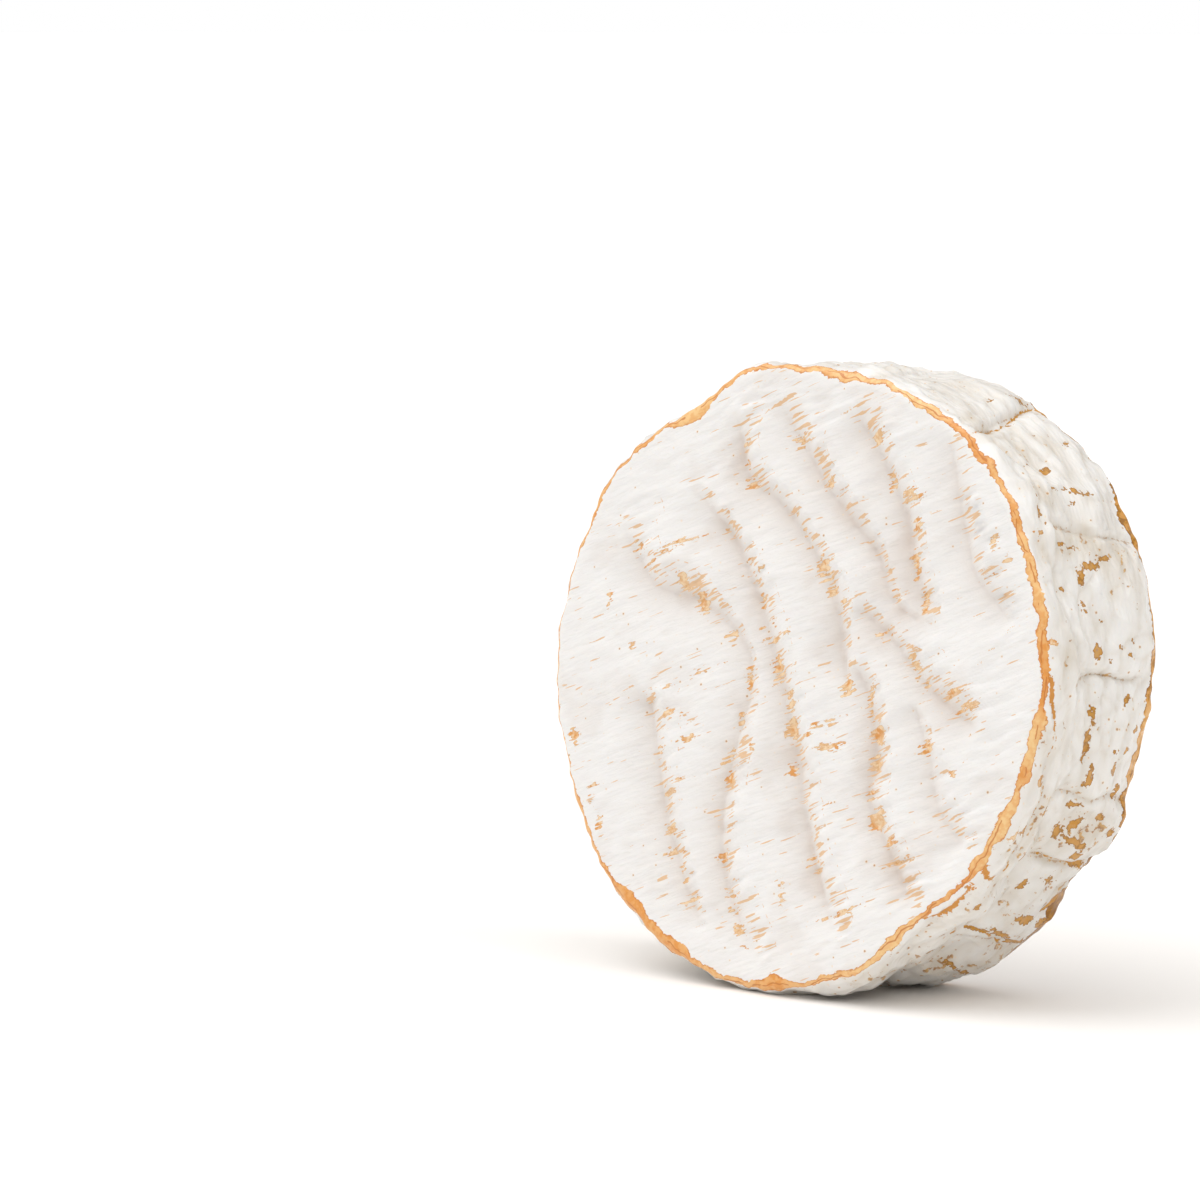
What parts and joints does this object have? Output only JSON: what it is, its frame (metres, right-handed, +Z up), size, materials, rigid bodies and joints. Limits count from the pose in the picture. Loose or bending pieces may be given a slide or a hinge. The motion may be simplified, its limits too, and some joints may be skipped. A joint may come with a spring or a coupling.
{
  "type": "cheese wheel",
  "caption": "Flat round wheel of soft ripened cheese with a white bloomy rind, wavy pressed grooves on its faces and a creased side, standing on its edge on a small flat foot.",
  "frame": {"origin": "middle of the wheel's outline seen from above, on the surface it stands on", "axes": "+Z up; the grooved front face looks towards -Y and leans back by 8.5 degrees, so its upper edge is further towards +Y; +X to the right of someone who faces the front"},
  "size_m": [0.112, 0.0452, 0.108],
  "materials": {
    "white_rind": "dry velvety white mould rind, with light tan flecks in the grooves and a tan line along both rims"
  },
  "bodies": {
    "root": {"cheese_wheel": "white_rind"}
  },
  "joints": []
}
